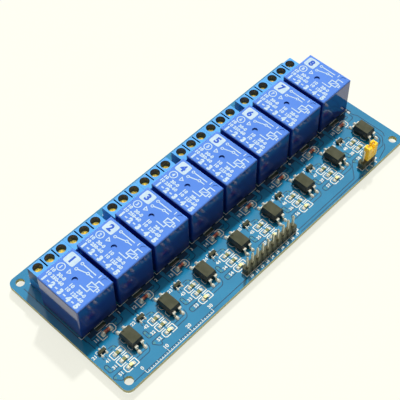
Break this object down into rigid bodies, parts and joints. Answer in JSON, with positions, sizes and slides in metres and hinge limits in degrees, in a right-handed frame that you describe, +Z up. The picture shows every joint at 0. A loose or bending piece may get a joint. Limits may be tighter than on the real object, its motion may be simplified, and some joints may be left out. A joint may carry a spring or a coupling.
{
  "type": "relay module board",
  "caption": "Circuit board with a row of sealed relays, screw terminal blocks behind them, and optocouplers, driver parts, a pin header and a jumper in front.",
  "frame": {"origin": "centre of the mounting hole pattern, on the underside of the circuit board", "axes": "+X along the row of relays, +Y to the screw terminals, +Z up out of the component side"},
  "size_m": [0.139, 0.0576, 0.0191],
  "materials": {
    "board_mask": "satin solder mask over glass-fibre laminate",
    "relay_cover": "moulded, fine texture on top, smooth sides",
    "relay_base": "moulded",
    "terminal_housing": "moulded",
    "opto_body": "moulded, satin",
    "tinned_pin": "tinned",
    "winding": "enamelled copper wire",
    "bobbin": "moulded",
    "iron": "plain soft iron",
    "screw": "yellow zinc plate",
    "clamp": "nickel plate",
    "contact": "tinned brass",
    "lead": "tinned",
    "diode_glass": "orange glass",
    "diode_cap": "tinned",
    "transistor_body": "moulded",
    "resistor_body": "glazed black",
    "chip_end": "tinned",
    "led_base": "white laminate",
    "led_lens": "clear pale yellow resin",
    "header_plastic": "moulded",
    "header_pin": "thin gold plate",
    "jumper_plastic": "moulded",
    "solder": "bright solder"
  },
  "bodies": {
    "root": {"circuit_board": "board_mask", "relay_cover_1": "relay_cover", "relay_cover_2": "relay_cover", "relay_cover_3": "relay_cover", "relay_cover_4": "relay_cover", "relay_cover_5": "relay_cover", "relay_cover_6": "relay_cover", "relay_cover_7": "relay_cover", "relay_cover_8": "relay_cover", "relay_base_1": "relay_base", "relay_base_2": "relay_base", "relay_base_3": "relay_base", "relay_base_4": "relay_base", "relay_base_5": "relay_base", "relay_base_6": "relay_base", "relay_base_7": "relay_base", "relay_base_8": "relay_base", "terminal_block_1": "terminal_housing", "terminal_block_2": "terminal_housing", "terminal_block_3": "terminal_housing", "terminal_block_4": "terminal_housing", "terminal_block_5": "terminal_housing", "terminal_block_6": "terminal_housing", "terminal_block_7": "terminal_housing", "terminal_block_8": "terminal_housing", "optocoupler_1": "opto_body", "optocoupler_2": "opto_body", "optocoupler_3": "opto_body", "optocoupler_4": "opto_body", "optocoupler_5": "opto_body", "optocoupler_6": "opto_body", "optocoupler_7": "opto_body", "optocoupler_8": "opto_body", "relay_pins": "tinned_pin", "relay_windings": "winding", "relay_bobbins": "bobbin", "relay_cores": "iron", "relay_yokes": "iron", "terminal_screws": "screw", "terminal_clamps": "clamp", "terminal_contacts": "contact", "optocoupler_leads": "lead", "diode_glass": "diode_glass", "diode_caps": "diode_cap", "transistors": "transistor_body", "transistor_leads": "lead", "resistors": "resistor_body", "resistor_ends": "chip_end", "led_bases": "led_base", "led_lenses": "led_lens", "led_ends": "chip_end", "header_housing": "header_plastic", "header_pins": "header_pin", "jumper_housing": "header_plastic", "jumper_pins": "header_pin", "jumper_cap": "jumper_plastic", "jumper_contact": "contact", "solder_joints": "solder"}
  },
  "joints": []
}
